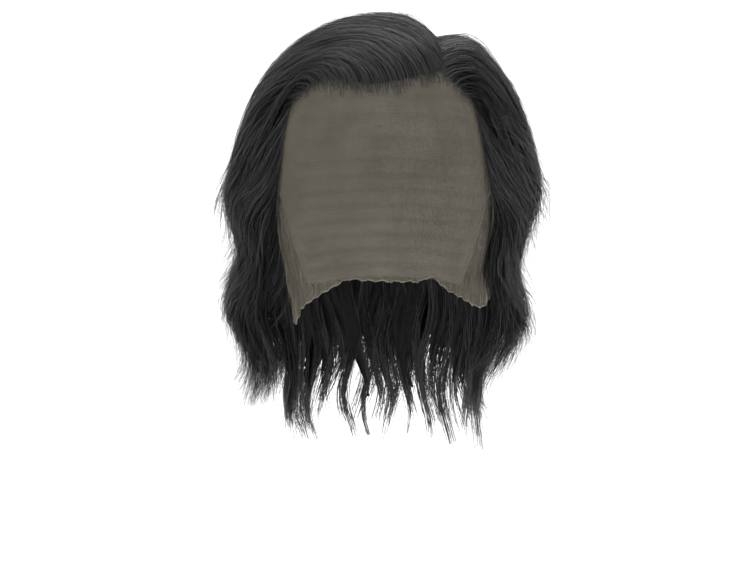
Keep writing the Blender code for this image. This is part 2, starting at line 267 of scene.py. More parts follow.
Outer = namedtuple(
    "Outer",
    "root_turn root_level bend_turn bend_level roll crest side_turn side_lift"
    " tip_turn tip_lift tip",
)
OUTER = (
    Outer(-60, 0.570, -68, 0.68, 0.60, 0.20, -76, 0.42, -80, 0.60, 0.97),
    Outer(-44, 0.540, -63, 0.44, 0.60, 0.20, -82, 0.68, -85, 1.10, 1.02),
    Outer(-6, 0.560, -42, 0.18, 0.50, 0.16, -89, 0.84, -92, 1.45, 1.02),
    Outer(39, 0.492, 8, 0.05, 0.24, 0.18, -98, 0.86, -101, 1.48, 0.98),
    Outer(82, 0.300, -80, 0.06, 0.25, 0.22, -110, 0.90, -114, 1.30, 1.03),
    Outer(131, 0.352, -165, 0.32, 0.30, 0.28, -127, 0.90, -131, 1.20, 1.10),
    Outer(137, 0.350, 175, 0.50, 0.40, 0.27, -153, 0.84, -156, 1.10, 1.16),
    Outer(135, 0.373, 160, 0.55, 0.40, 0.27, -180, 0.80, -180, 1.02, 1.18),
    Outer(131, 0.395, 143, 0.60, 0.40, 0.29, -207, 0.80, -205, 1.02, 1.16),
    Outer(125, 0.396, 122, 0.62, 0.34, 0.42, -233, 0.78, -231, 1.00, 1.10),
    Outer(83, 0.322, 88, 0.60, 0.26, 0.56, -260, 0.74, -258, 0.96, 1.01),
    Outer(46, 0.500, 64, 0.60, 0.26, 0.52, -279, 0.70, -277, 0.88, 0.96),
    Outer(56, 0.565, 61, 0.72, 0.60, 0.22, -292, 0.34, -287, 0.46, 0.92),
)
OUTER_ARRAY = np.array(OUTER, dtype=float)
ROLL_COLUMN = Outer._fields.index("roll")
FRONT_END = 3.25
PART_START = 10.4
PART_END_LEFT = 5.0
PART_END_RIGHT = 9.0
LAST_ROW = 12.0
SWEEP = (0.0, PART_END_LEFT)
BACK = (PART_END_LEFT, PART_END_RIGHT)
SHORT = (PART_END_RIGHT, LAST_ROW)

FaceEdge = namedtuple("FaceEdge", "level left right")
FACE_EDGE = (
    FaceEdge(0.58, 70, 60),
    FaceEdge(0.74, 64, 56),
    FaceEdge(0.90, 62, 57),
    FaceEdge(1.08, 67, 65),
    FaceEdge(1.20, 71, 69),
    FaceEdge(1.34, 73, 74),
    FaceEdge(1.50, 74, 80),
    FaceEdge(1.90, 74, 81),
    FaceEdge(2.10, 75, 78),
    FaceEdge(2.60, 78, 78),
)

LaceEdge = namedtuple("LaceEdge", "turn depth curl")
LACE_EDGE = (
    LaceEdge(-92, 0.83, 0.00),
    LaceEdge(-73, 1.03, 0.00),
    LaceEdge(-67, 1.26, 0.35),
    LaceEdge(-57, 1.16, 0.10),
    LaceEdge(-46, 1.11, 0.00),
    LaceEdge(-38, 1.075, 0.00),
    LaceEdge(-20, 0.995, 0.00),
    LaceEdge(0, 1.00, 0.00),
    LaceEdge(18, 1.005, 0.00),
    LaceEdge(25, 0.985, 0.00),
    LaceEdge(33, 1.045, 0.00),
    LaceEdge(46, 1.095, 0.00),
    LaceEdge(60, 1.15, 0.25),
    LaceEdge(68, 1.17, 0.75),
    LaceEdge(74, 1.12, 1.00),
    LaceEdge(79, 1.00, 1.00),
    LaceEdge(82, 0.88, 0.00),
    LaceEdge(92, 0.80, 0.00),
)

# How a bundle of strands looks. Width, stray, roots and flick are in metres. Depths are
# shares of the lock's depth from its top, and short and long are shares of its length. Stray
# is how far a strand wanders, roots how far its root leaves its row, and flick how far the
# tips of a tuft turn out. Spread and tips scale the scatter and the taper.
Look = namedtuple(
    "Look", "width depth_low depth_high short long stray spread roots tips flick"
)
BODY = Look(0.00042, 0.02, 0.60, 0.70, 1.00, 0.00065, 0.85, 0.0026, 0.6, 0.0040)
HAZE = Look(0.00026, -0.14, 0.06, 0.50, 1.04, 0.00200, 2.8, 0.0026, 1.0, 0.0060)
WISP = Look(0.00032, -0.06, 0.12, 0.50, 0.92, 0.00120, 2.4, 0.0018, 0.9, 0.0100)
FILL = Look(0.00700, 0.45, 0.65, 0.76, 0.86, 0.0, 0.0, 0.0, 1.2, 0.0)
SIDE_FILL = Look(0.00600, 0.45, 0.65, 0.62, 0.74, 0.0, 0.0, 0.0, 1.2, 0.0)
HAIRLINE = Look(0.00048, 0.00, 0.12, 0.09, 0.24, 0.00040, 1.0, 0.0052, 0.6, 0.0)
PARTING = Look(0.00036, -0.10, 0.10, 0.30, 0.55, 0.00040, 0.9, 0.0014, 0.8, 0.0)
FEATHER = Look(0.00032, -0.10, 0.02, 0.0, 0.0, 0.00120, 1.9, 0.0, 0.9, 0.0105)
ENDS = FEATHER._replace(depth_high=3.6, flick=0.0050)

Fibre = namedtuple("Fibre", "name dark light roughness gloss")
FIBRES = (
    Fibre("top_hair", (0.006, 0.006, 0.0072), (0.032, 0.032, 0.0365), 0.40, 0.45),
    Fibre("under_hair", (0.008, 0.008, 0.009), (0.038, 0.038, 0.040), 0.42, 0.45),
    Fibre("loose_hair", (0.010, 0.010, 0.011), (0.068, 0.068, 0.071), 0.42, 0.45),
    Fibre("root_hair", (0.004, 0.004, 0.004), (0.014, 0.013, 0.012), 0.50, 0.45),
    # This fibre's near-black colour is painted shade: it darkens the fill ribbons under the
    # strands so that they stand for the shadow inside the hair.
    Fibre("painted_shade_hair", (0.004, 0.004, 0.004), (0.010, 0.010, 0.010), 0.60, 0.15),
)

# Bundles of strands. Points are those along each strand, and nodes the CAD solids that a
# bundle replaces. Feathers start between two rings, and cross as many rows as their slant.
Locks = namedtuple("Locks", "name seed span locks count points look fibre nodes", defaults=[()])
Feathers = namedtuple("Feathers", "name seed span slant rings tufts count points look fibre")
Face = namedtuple("Face", "name seed left count points look fibre")
Inner = namedtuple("Inner", "name seed left count points look fibre nodes")
Nape = namedtuple("Nape", "name seed count points look fibre nodes", defaults=[()])
HAIR = (
    Locks("sweep_strands", 11, SWEEP, 10, 2850, 28, BODY, "top_hair", ["hair_top_sweep"]),
    Locks("sweep_strands_over", 12, SWEEP, 10, 2850, 28, BODY, "top_hair", ["hair_top_sweep"]),
    Locks("short_strands", 13, SHORT, 6, 2450, 28, BODY, "top_hair", ["hair_top_short"]),
    Locks("back_strands", 14, BACK, 8, 2200, 27, BODY, "top_hair", ["hair_crown_back"]),
    # The fill ribbons wear the painted shade fibre: dark bands that stand for the shadow under
    # the outer hair.
    Locks("sweep_fill", 21, SWEEP, 10, 110, 24, SIDE_FILL, "painted_shade_hair"),
    Locks("short_fill", 22, SHORT, 6, 75, 24, SIDE_FILL, "painted_shade_hair"),
    Locks("back_fill", 23, BACK, 8, 260, 22, FILL, "painted_shade_hair"),
    Nape("nape_fill", 24, 210, 20, FILL, "painted_shade_hair"),
    Locks("sweep_haze", 31, SWEEP, 10, 420, 27, HAZE, "top_hair"),
    Locks("short_haze", 32, SHORT, 6, 260, 27, HAZE, "top_hair"),
    Locks("back_haze", 33, BACK, 8, 180, 27, HAZE, "top_hair"),
    Locks("sweep_wisps", 35, SWEEP, 14, 300, 27, WISP, "top_hair"),
    Locks("short_wisps", 36, SHORT, 9, 200, 27, WISP, "top_hair"),
    Feathers("left_feathers", 51, (-0.3, 2.8), 1.0, (5.0, 14.5), 80, 1100, 16, FEATHER,
             "loose_hair"),
    Feathers("right_feathers", 52, (9.8, 12.3), -1.0, (5.0, 14.5), 64, 900, 16, FEATHER,
             "loose_hair"),
    Feathers("back_feathers", 53, (3.5, 9.5), 0.0, (9.0, 14.5), 70, 400, 16, FEATHER,
             "loose_hair"),
    Feathers("left_ends", 57, (0.8, 3.4), -1.5, (11.5, 15.0), 26, 460, 14, ENDS, "top_hair"),
    Feathers("right_ends", 58, (9.4, 11.4), 1.4, (11.5, 15.0), 24, 420, 14, ENDS, "top_hair"),
    Face("left_face_strands", 55, True, 720, 15, FEATHER, "under_hair"),
    Face("right_face_strands", 56, False, 720, 15, FEATHER, "under_hair"),
    Locks("parting_left", 43, (2.5, FRONT_END), 6, 330, 16, PARTING, "top_hair"),
    Locks("parting_right", 44, (PART_START, 11.3), 6, 380, 16, PARTING, "top_hair"),
    Locks("hairline_left", 41, (0.0, FRONT_END), 30, 430, 12, HAIRLINE, "root_hair"),
    Locks("hairline_right", 42, (PART_START, LAST_ROW), 12, 210, 12, HAIRLINE, "root_hair"),
    Inner("side_left_strands", 15, True, 760, 22, BODY, "under_hair", ["hair_side_left"]),
    Inner("side_right_strands", 16, False, 760, 22, BODY, "under_hair", ["hair_side_right"]),
    Nape("nape_strands", 17, 1500, 20, BODY, "under_hair", ["hair_nape"]),
)


def smooth(share):
    """0 to 1 with level ends."""
    share = np.clip(share, 0.0, 1.0)
    return share * share * (3.0 - 2.0 * share)


def between(start, end, value):
    """0 up to the start, 1 from the end on."""
    return smooth((value - start) / (end - start))


def window(start, full, last_full, end, value):
    """1 in the middle of a window of values, 0 outside it."""
    return between(start, full, value) * (1.0 - between(last_full, end, value))


def wrapped(turn):
    """The turn as -180 to 180."""
    return (turn + 180.0) % 360.0 - 180.0


def unit(vectors):
    """Vectors at a length of 1."""
    return vectors / np.maximum(np.linalg.norm(vectors, axis=-1, keepdims=True), 1e-9)


def direction(turn, level):
    """Unit directions from the head's middle to places on its dome."""
    angle, dip = np.radians(turn), np.pi / 2 * np.asarray(level)
    return np.stack([
        np.sin(dip) * np.sin(angle), -np.sin(dip) * np.cos(angle), np.cos(dip) + 0 * angle
    ], axis=-1)


def place(turn, level, lift):
    """Points at turns and levels, lifted off the head."""
    angle = np.radians(turn)
    depth = np.where(np.cos(angle) > 0, HEAD_FRONT, HEAD_BACK)
    dip = np.pi / 2 * np.minimum(level, 1.0)
    drop = np.maximum(level - 1.0, 0.0) * DOME_HEIGHT
    taper = 1.0 - NECK_TAPER * np.sin(np.pi / 2 * np.minimum(drop / NECK_DEPTH, 1.0)) ** 2
    out = np.sin(dip)
    return np.stack([
        (HEAD_HALF_WIDTH * taper + lift) * out * np.sin(angle),
        -(depth * taper + lift) * out * np.cos(angle),
        (DOME_HEIGHT + lift) * np.cos(dip) - drop - DOME_HEIGHT + 0 * angle,
    ], axis=-1)


def outward(turn, level):
    """Unit directions straight off the head."""
    return direction(turn, np.minimum(level, 1.0))


def girth(level):
    """How wide the head is at a level, as a share of its widest, but never near 0."""
    return np.clip(np.sin(np.pi / 2 * np.minimum(level, 1.0)), 0.3, 1.0)


def under_lift(turn):
    """Height of the inner layer of hair: thin at the face, full from the ears back."""
    share = between(*UNDER_TURNS, np.abs(wrapped(turn)))
    return UNDER_EDGE_DEPTH + (UNDER_DEPTH - UNDER_EDGE_DEPTH) * share


def blended(table, at):
    """Catmull-Rom blend of a table's rows at places between them."""
    low = np.clip(at.astype(int), 0, len(table) - 2)
    share = (at - low)[..., None]
    before, first, second, after = (
        table[np.clip(low + step, 0, len(table) - 1)] for step in (-1, 0, 1, 2)
    )
    return 0.5 * (
        first * 2.0
        + (second - before) * share
        + (before * 2.0 - first * 5.0 + second * 4.0 - after) * share ** 2
        + (first * 3.0 - before - second * 3.0 + after) * share ** 3
    )


ROOT_WAYS = direction(OUTER_ARRAY[:, 0], OUTER_ARRAY[:, 1])
BEND_WAYS = direction(OUTER_ARRAY[:, 2], OUTER_ARRAY[:, 3])


def dome_way(at, over, root_shift, side):
    """Unit directions of the outer hair on the dome, on a curve from root to side."""
    root = unit(blended(ROOT_WAYS, at) + root_shift)
    bend = unit(blended(BEND_WAYS, at))
    front = np.maximum(window(*UPRIGHT_SWEEP, at), window(*UPRIGHT_SHORT, at))
    front = (UPRIGHT_SHARE * front)[..., None]
    upright = root + UPRIGHT_REACH * unit(UP - root * root[..., 2:3])
    first = (root + 2.0 * bend) / 3.0 * (1.0 - front) + upright * front
    return unit(
        root * ((1 - over) ** 3)[..., None]
        + first * (3 * over * (1 - over) ** 2)[..., None]
        + (side + 2.0 * bend) / 3.0 * (3 * over ** 2 * (1 - over))[..., None]
        + side * (over ** 3)[..., None]
    )


def outer_surface(at, ring, root_shift=0.0):
    """Turn, level, top lift and depth of the outer hair at table places and rings."""
    roll, crest, side_turn, side_lift, tip_turn, tip_lift, tip = np.moveaxis(
        blended(OUTER_ARRAY[:, ROLL_COLUMN:], at), -1, 0
    )
    over = np.clip(ring / DOME_RINGS, 0.0, 1.0)
    side = direction(side_turn, np.full_like(side_turn, LAND_LEVEL))
    way = dome_way(at, over, root_shift, side)
    dome_turn = np.degrees(np.arctan2(way[..., 0], -way[..., 1]))
    dome_turn = side_turn + wrapped(dome_turn - side_turn)
    dome_level = np.arccos(np.clip(way[..., 2], -1, 1)) / (np.pi / 2)
    rise = np.minimum(over / roll, 1.0)
    dome_lift = crest * np.sqrt(np.clip(rise * (2.0 - rise), 0.0, 1.0))
    crest_end = roll + LATE_SHARE * window(*LATE_CREST, at)
    dome_lift += (side_lift - crest) * between(crest_end, 1.0, over)

    fall = np.maximum(ring - DOME_RINGS, 0.0) / FALL_RINGS
    falling = fall > 0
    turn = side_turn + (tip_turn - side_turn) * smooth(fall)
    turn = np.where(falling, turn, dome_turn)
    level = LAND_LEVEL + (HAIR_LEVEL * tip - LAND_LEVEL) * fall
    level = np.where(falling, level, dome_level)
    lift = side_lift + (tip_lift - side_lift) * smooth(fall)
    lift = np.where(falling, lift, dome_lift)
    base = under_lift(turn) + LAYER_GAP
    base = SEAT_LIFT + (base - SEAT_LIFT) * between(*BASE_LEVELS, level)
    top = np.maximum(SEAT_LIFT + HAIR_VOLUME * lift, base + ROOT_DEPTH)
    depth = np.minimum(top - base, LOCK_DEPTH)
    depth += (np.minimum(depth, TIP_DEPTH) - depth) * between(*THINNING_FALL, fall)
    return turn, level, top, depth


def wave_angle(turn, level):
    """Phase of the loose waves at a place, and the place's turn in radians."""
    spread = np.radians(wrapped(turn))
    rate = (1 / WAVE_LENGTH_LEFT + 1 / WAVE_LENGTH_RIGHT) / 2
    rate = rate + (1 / WAVE_LENGTH_RIGHT - 1 / WAVE_LENGTH_LEFT) / 2 * np.sin(spread)
    return math.tau * (level - CREST_LEVEL) * DOME_HEIGHT * rate, spread


def wave_growth(top, level):
    """How far the waves have grown: not at all in flat hair or high on the dome."""
    return between(*WAVE_TOPS, top) * between(*WAVE_LEVELS, level)


def wave_lift(growth, angle, spread):
    """How far the waves lift the hair."""
    return WAVE_SIZE * growth * np.cos(angle + WAVE_TWIST * spread)


def wave_sway(levels, level, angle, spread):
    """How far the waves turn the hair about the head, growing over a stretch of levels."""
    return SWAY_TURN * between(*levels, level) * np.sin(angle + SWAY_TWIST * spread)


def settle(points, passes):
    """Evens out each strand's points, ends kept."""
    for _ in range(passes):
        middle = (points[:, :-2] + 2.0 * points[:, 1:-1] + points[:, 2:]) / 4.0
        points = np.concatenate([points[:, :1], middle, points[:, -1:]], axis=1)
    return points


def along_strands(bundle):
    """Places along each strand, from 0 at the root to 1 at the tip."""
    return np.linspace(0.0, 1.0, bundle.points)[None, :] + np.zeros((bundle.count, 1))


def scatter(rng, size, bundle):
    """A random value for each strand."""
    return rng.normal(0, size, (bundle.count, 1))


def shared(values, tuft):
    """The value of its tuft for each strand."""
    return values[tuft][:, None]


def wander(rng, along, size, turns):
    """A slow random swing along each strand."""
    count = len(along)
    result = 0.0
    for step, turned in enumerate(turns):
        swing = rng.normal(0, size / (step + 1), (count, 1))
        result = result + swing * np.sin(math.tau * (along * turned + rng.random((count, 1))))
    return result


def strand_sides(points, normals):
    """Unit directions across each strand's ribbon and out of its face."""
    way = unit(np.gradient(points, axis=1))
    across = unit(np.cross(way, normals))
    return across, np.cross(across, way)


def ribbon_mesh(name, points, normals, widths, tones):
    """One mesh of flat ribbons. points are (strand, point, 3) and widths (strand, point)."""
    count, length = points.shape[:2]
    across, face = strand_sides(points, normals)
    half = across * widths[..., None] * 0.5
    vertices = np.stack([points - half, points + half], axis=2).reshape(-1, 3)
    # Normals that lean out at both edges shade a flat ribbon as a round strand
    lean = across * RIBBON_LEAN
    shade = np.stack([unit(face - lean), unit(face + lean)], axis=2)

    start = (np.arange(count)[:, None] * length + np.arange(length - 1)[None, :]) * 2
    quads = np.stack([start, start + 1, start + 3, start + 2], axis=-1).reshape(-1, 4)
    mesh = bpy.data.meshes.new(name)
    mesh.vertices.add(len(vertices))
    mesh.vertices.foreach_set("co", vertices.astype(np.float32).ravel())
    mesh.loops.add(quads.size)
    mesh.loops.foreach_set("vertex_index", quads.astype(np.int32).ravel())
    mesh.polygons.add(len(quads))
    mesh.polygons.foreach_set("loop_start", np.arange(0, quads.size, 4, dtype=np.int32))
    mesh.polygons.foreach_set("use_smooth", np.ones(len(quads), dtype=bool))
    mesh.update(calc_edges=True)

    # Each strand takes one of a few columns of the map, and runs up it from root to tip
    column = (tones[:, None, None] + np.array([0.25, 0.75])[None, None, :]) / TONE_COLUMNS
    column = np.broadcast_to(column, (count, length, 2))
    rise = np.broadcast_to(np.linspace(0.002, 0.998, length)[None, :, None], column.shape)
    uv = np.stack([column, rise], axis=-1).reshape(-1, 2)[quads.ravel()]
    layer = mesh.uv_layers.new(name=MAP_NAME)
    layer.data.foreach_set("uv", uv.astype(np.float32).ravel())
    mesh.normals_split_custom_set_from_vertices(
        shade.reshape(-1, 3).astype(np.float32).tolist()
    )
    return mesh


def add_piece(name, mesh, material, nodes=()):
    """Adds a piece to the scene, on the root body, standing for CAD nodes."""
    mesh.materials.append(material)
    piece = bpy.data.objects.new(name, mesh)
    bpy.context.scene.collection.objects.link(piece)
    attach(piece, "root")
    if nodes:
        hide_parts(*nodes)
    return piece


def shared_tones(rng, order, group):
    """A tone for each strand, mostly the same as its neighbours'."""
    count = len(order)
    wisp = rng.integers(0, TONE_COLUMNS, count // group + 2)
    rank = np.empty(count, dtype=int)
    rank[np.argsort(order, kind="stable")] = np.arange(count)
    own = rng.integers(0, TONE_COLUMNS, count)
    return np.where(rng.random(count) < SHARED_TONES, wisp[rank // group], own)


def tapered(rng, look, along):
    """Widths of strands, finer towards the tip and at the root."""
    taper = 1.0 - TIP_TAPER * between(*TAPER_SHARES, along) * look.tips
    at_root = ROOT_WIDTH + (1.0 - ROOT_WIDTH) * smooth(along / ROOT_SHARE)
    own = rng.uniform(*OWN_WIDTHS, (len(along), 1))
    return look.width * (np.maximum(taper, LEAST_WIDTH) * at_root) * own


def add_strands(bundle, rng, turn, level, lift, tilt, order, group, material, passes=2):
    """Adds a bundle's strands as one piece. Groups of strands next in order share a tone."""
    along = along_strands(bundle)
    tilt = tilt + 0 * along
    widths = tapered(rng, bundle.look, along)
    tones = shared_tones(rng, order, group)
    points = settle(place(turn, level, np.maximum(lift, LEAST_LIFT)), passes)
    across, face = strand_sides(points, outward(turn, level))
    normals = face * np.cos(tilt)[..., None] + across * np.sin(tilt)[..., None]
    mesh = ribbon_mesh(bundle.name, points, normals, widths, tones)
    add_piece(bundle.name, mesh, material, getattr(bundle, "nodes", ()))


def lock_pattern(bundle, rng):
    """Each strand's lock and tuft, and how these two leave an even fall of hair."""
    shape = np.random.default_rng(bundle.locks * LOCK_SEED_STEP)
    spot = (np.arange(bundle.count) + rng.random(bundle.count)) / bundle.count * bundle.locks
    lock = np.minimum(spot.astype(int), bundle.locks - 1)
    across = spot - lock - 0.5
    tuft = np.floor((across + 0.5) * TUFTS)
    middle = (tuft + 0.5) / TUFTS - 0.5
    inside = across - middle
    tuft = (lock * TUFTS + tuft).astype(int)
    total = bundle.locks * TUFTS
    flick = bundle.look.flick

    def for_locks(size):
        return shared(shape.normal(0, size, bundle.locks), lock)

    def for_tufts(size, mean=0.0):
        return shared(shape.normal(mean, size, total), tuft)

    return SimpleNamespace(
        spot=spot,
        lock=lock[:, None],
        middle=middle[:, None],
        inside=inside[:, None],
        lock_lift=-np.abs(for_locks(LOCK_SINK)),
        lock_phase=for_locks(LOCK_PHASE),
        lock_size=1.0 + for_locks(LOCK_SIZE),
        lock_sway=for_locks(LOCK_SWAY),
        lift=for_tufts(TUFT_LIFT, -TUFT_SINK),
        phase=for_tufts(TUFT_PHASE),
        size=1.0 + for_tufts(TUFT_SIZE),
        sway=for_tufts(TUFT_SWAY),
        reach=1.0 + for_tufts(TUFT_REACH),
        flick=for_tufts(flick, 0.3 * flick),
        curl=for_tufts(TUFT_CURL),
        loose=for_tufts(TUFT_LOOSE),
    )


def root_drift(bundle, rng, at):
    """How far each root leaves its row: down at the hairline, up elsewhere."""
    count = bundle.count
    drift_x = 0.0
    if bundle.look is PARTING:
        side = np.where(at[:, :1] < PART_END_LEFT, 1.0, -1.2)
        drift_x = side * rng.uniform(0.0, PARTING_DRIFT, (count, 1))
    spread = bundle.look.roots / HEAD_FRONT
    drift = rng.normal(0, spread, (count, 1, 3)) * 0.5
    if bundle.look is HAIRLINE:
        drift[..., 2] -= np.minimum(rng.exponential(spread, (count, 1)), HAIRLINE_DRIFT)
    else:
        drift[..., 2] += np.minimum(rng.gamma(2.5, 1.2 * spread, (count, 1)), BODY_DRIFT)
    drift[..., 0] += drift_x
    return drift


def rooted_share(turn, level):
    """0 at each strand's root and 1 where it has left it."""
    bare = place(turn, level, np.zeros_like(turn))
    steps = np.linalg.norm(np.diff(bare, axis=1, prepend=bare[:, :1]), axis=-1)
    return between(*ROOTED_LENGTHS, np.cumsum(steps, axis=1))


def lock_piece(bundle, material):
    """Strands of the outer hair between two places in its table, in waving locks."""
    start, end = bundle.span
    look = bundle.look
    rng = np.random.default_rng(bundle.seed)
    tuft = lock_pattern(bundle, rng)
    along = along_strands(bundle)
    edge = 2.0 * tuft.inside * TUFTS

    # Rings, so that the middle of a tuft is its longest and locks end unevenly
    reach = rng.uniform(look.short, look.long, bundle.count) ** 0.5 * look.long ** 0.5
    reach = reach[:, None] * (1.0 - TUFT_POINT * np.abs(edge) ** 1.5)
    ring = along * RINGS * np.minimum(reach * tuft.reach, LONGEST_REACH)
    gather = between(*GATHER_RINGS, ring / RINGS)
    free = between(*FREE_RINGS, ring / RINGS)
    ring = ring * (1.0 + LOCK_REACH * free * np.sin(2.1 * tuft.lock))

    # Places in the table, with strands that close up into tufts and tufts into locks
    clump = 1.0 - TUFT_CLUMP * between(*CLUMP_RINGS, ring / RINGS)
    clump = clump - TIP_CLUMP * between(*TIP_CLUMP_RINGS, ring / RINGS)
    width = 1.0 - LOCK_NARROWING * gather - TIP_NARROWING * free ** 4
    own = (tuft.middle + tuft.inside * clump * (1.0 + 0.5 * look.spread)) * width
    shift = LOCK_SHIFT * np.sin(2.4 * tuft.lock + 1.0) * gather
    share = (tuft.lock + 0.5 + own + shift * (1.0 - np.abs(own))) / bundle.locks
    at = np.clip(start + (end - start) * share, 0.0, LAST_ROW)
    turn, level, top, depth = outer_surface(at, ring, root_drift(bundle, rng, at))

    # Lift off the head, with a groove between locks
    rooted = rooted_share(turn, level)
    groove = np.minimum(GROOVE_DEPTH, 0.45 * depth) * (2.0 * own) ** 2
    groove = groove * (0.35 + 0.65 * gather)
    within = rng.beta(1.0, 1.8, bundle.count)[:, None]
    within = look.depth_low + (look.depth_high - look.depth_low) * within
    lift = top - groove - depth * within - TUFT_ROUND * edge ** 2
    lift = ROOT_LIFT + (lift - ROOT_LIFT) * (0.15 + 0.85 * rooted)
    lift = lift + (tuft.lift + tuft.lock_lift * gather) * rooted

    # Waves, sway and stray
    angle, spread = wave_angle(turn, level)
    angle = angle + tuft.lock_phase + tuft.phase
    growth = wave_growth(top, level) * tuft.lock_size * tuft.size
    lift = lift + wave_lift(growth, angle, spread)
    sway = wave_sway(OUTER_SWAY_LEVELS, level, angle, spread) * tuft.size
    loose = between(*LOOSE_LEVELS, level)
    sway = sway + (tuft.lock_sway + tuft.sway) * gather
    swing = wander(rng, along, look.stray * STRAY_TURN, (1.0, 2.3, 5.0))
    sway = sway + swing / girth(level) * (1.0 + 1.8 * loose)
    sway = sway + scatter(rng, OWN_SWAY * look.spread, bundle) * loose
    sway = sway + scatter(rng, OWN_SWAY * look.spread, bundle) * free
    swing = wander(rng, along, look.stray, (1.2, 2.9, 6.0))
    lift = lift + swing * rooted * (1.0 + 1.5 * loose) + tuft.loose * loose

    # Ends that curl and turn out, and tuck in except behind
    tail = between(*WISP_TAIL_SHARES, along) ** 2 if look is WISP else free ** 2
    sway = sway + tuft.curl * tail
    lift = lift - TUCK * (1.0 - window(*BEHIND, at)) * between(*TUCK_RINGS, ring / RINGS)
    lift = lift + (tuft.flick + scatter(rng, OWN_LIFT * look.spread, bundle)) * tail
    lift = np.minimum(lift, top + FRIZZ_LIMIT)
    tilt = 1.2 * tuft.inside * TUFTS + scatter(rng, 0.25, bundle)
    add_strands(bundle, rng, turn + sway, level, lift, tilt, tuft.spot, 9, material)


def feather_piece(bundle, material):
    """Layered strands that cross the outer hair on a slant and end at its surface."""
    count, tufts, look, slant = bundle.count, bundle.tufts, bundle.look, bundle.slant
    rng = np.random.default_rng(bundle.seed)
    tuft = rng.integers(0, tufts, count)
    tuft_at = shared(rng.uniform(*bundle.span, tufts), tuft)
    tuft_ring = shared(rng.uniform(*bundle.rings, tufts), tuft)
    tuft_length = shared(rng.uniform(*FEATHER_LENGTHS, tufts), tuft)
    tuft_flick = np.abs(shared(rng.normal(0, look.flick, tufts), tuft))
    tuft_slant = slant * shared(rng.uniform(*FEATHER_SLANTS, tufts), tuft)

    along = along_strands(bundle)
    start = tuft_ring + scatter(rng, FEATHER_START, bundle)
    length = tuft_length * rng.uniform(*FEATHER_OWN_LENGTHS, (count, 1))
    ring = start + np.minimum(length, RINGS * 1.02 - start) * along
    own = scatter(rng, FEATHER_SPREAD, bundle) * (1.0 - 0.75 * smooth(along))
    own_slant = tuft_slant + slant * scatter(rng, 0.25, bundle)
    at = np.clip(tuft_at + own + own_slant * along ** 1.3, 0.0, LAST_ROW)
    turn, level, top, depth = outer_surface(at, ring)

    angle, spread = wave_angle(turn, level)
    within = rng.uniform(look.depth_low, look.depth_high, (count, 1))
    sunk = (1.0 - between(*FEATHER_RISE_SHARES, along)) * FEATHER_SINK
    lift = top - depth * within - sunk
    lift = lift + wave_lift(wave_growth(top, level), angle, spread)
    lift = lift - TUCK * between(*TUCK_RINGS, ring / RINGS)
    loose = between(*FEATHER_LOOSE_LEVELS, level)
    lift = lift + wander(rng, along, look.stray, FEATHER_LIFT_TURNS) * loose
    flick = tuft_flick + scatter(rng, OWN_FLICK * look.spread, bundle)
    lift = lift + flick * between(*FEATHER_TAIL_SHARES, along) ** 1.5 * loose
    lift = np.minimum(lift, top + FRIZZ_LIMIT)
    sway = wave_sway(OUTER_SWAY_LEVELS, level, angle, spread)
    swing = wander(rng, along, look.stray * FEATHER_SWAY, FEATHER_SWAY_TURNS)
    sway = sway + swing / girth(level)
    tilt = scatter(rng, 0.5, bundle)
    add_strands(bundle, rng, turn + sway, level, lift, tilt, tuft, 6, material)


def face_edge(left):
    """Levels and turns of the hair's edge beside the face, at the left or right."""
    return zip(*((row.level, row.left if left else row.right) for row in FACE_EDGE))


def face_piece(bundle, material):
    """Strands from the hairline beside the face, out to the outer hair on a slant."""
    count, look, left = bundle.count, bundle.look, bundle.left
    rng = np.random.default_rng(bundle.seed)
    tuft = rng.integers(0, FACE_TUFTS, count)
    tuft_level = shared(rng.uniform(*FACE_LEVELS, FACE_TUFTS), tuft)
    tuft_at = shared(rng.uniform(*FACE_PLACES, FACE_TUFTS), tuft)
    tuft_drop = shared(rng.uniform(*FACE_DROPS, FACE_TUFTS), tuft)

    # Both ends of each strand
    start = tuft_level + scatter(rng, 0.09, bundle)
    end = tuft_level + tuft_drop + scatter(rng, 0.05, bundle)
    end = np.clip(end, LAND_LEVEL + 0.1, HAIR_LEVEL * 0.98)
    at = np.clip(tuft_at + scatter(rng, 0.12, bundle), 0.0, 1.8)
    at = at if left else LAST_ROW - at
    ring = DOME_RINGS + FALL_RINGS * (end - LAND_LEVEL) / (HAIR_LEVEL - LAND_LEVEL)
    end_turn, end_level, end_top, _ = outer_surface(at, ring)
    start_turn = np.interp(start, *face_edge(left)) + rng.exponential(1.6, (count, 1))
    start_turn = -start_turn if left else start_turn
    end_turn = start_turn + wrapped(end_turn - start_turn)

    along = along_strands(bundle)
    level = start + (end_level - start) * along
    turn = start_turn + (end_turn - start_turn) * smooth(along * 0.9) / smooth(0.9)
    out = rng.uniform(*FACE_LIFTS, (count, 1)) * end_top
    lift = FACE_ROOT_LIFT + (out - FACE_ROOT_LIFT) * smooth(along ** 0.75)
    angle, spread = wave_angle(turn, level)
    lift = lift + wave_lift(wave_growth(lift, level), angle, spread)
    lift = lift + wander(rng, along, look.stray, FEATHER_LIFT_TURNS) * smooth(along * 2.0)
    lift = lift + scatter(rng, OWN_FLICK, bundle) * along ** 2
    sway = wave_sway(OUTER_SWAY_LEVELS, level, angle, spread)
    swing = wander(rng, along, look.stray * FEATHER_SWAY, FEATHER_SWAY_TURNS)
    sway = sway + swing * smooth(along * 3)
    tilt = scatter(rng, 0.5, bundle)
    add_strands(bundle, rng, turn + sway, level, lift, tilt, tuft, 6, material)


